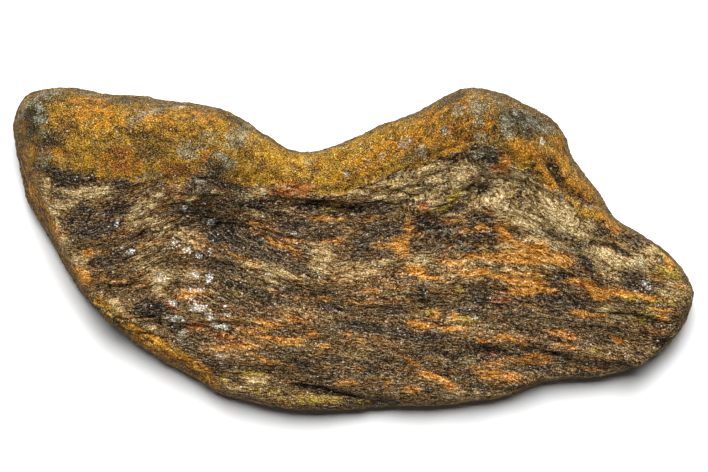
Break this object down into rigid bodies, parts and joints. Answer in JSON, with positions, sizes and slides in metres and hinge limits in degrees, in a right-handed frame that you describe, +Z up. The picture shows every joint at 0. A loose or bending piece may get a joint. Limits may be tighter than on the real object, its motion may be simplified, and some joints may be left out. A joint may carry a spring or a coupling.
{
  "type": "fossil frill bone section",
  "caption": "Weathered broken section of a horned dinosaur's fossil frill bone: long, wedge-shaped, fibrous on its broken face, with a thick lobe at each side of a saddle. It lies flat.",
  "frame": {"origin": "on the resting plane, under the middle of the piece's outline", "axes": "+X along the piece towards its narrow end, +Y across it towards the thick lobed side, +Z up through the broken fibrous face"},
  "size_m": [0.2001, 0.0952, 0.0409],
  "materials": {
    "fossil_bone": "matte mineralised bone: fibrous grain in browns, black and cream, with sandy ochre crust"
  },
  "bodies": {
    "root": {"frill_bone": "fossil_bone"}
  },
  "joints": []
}
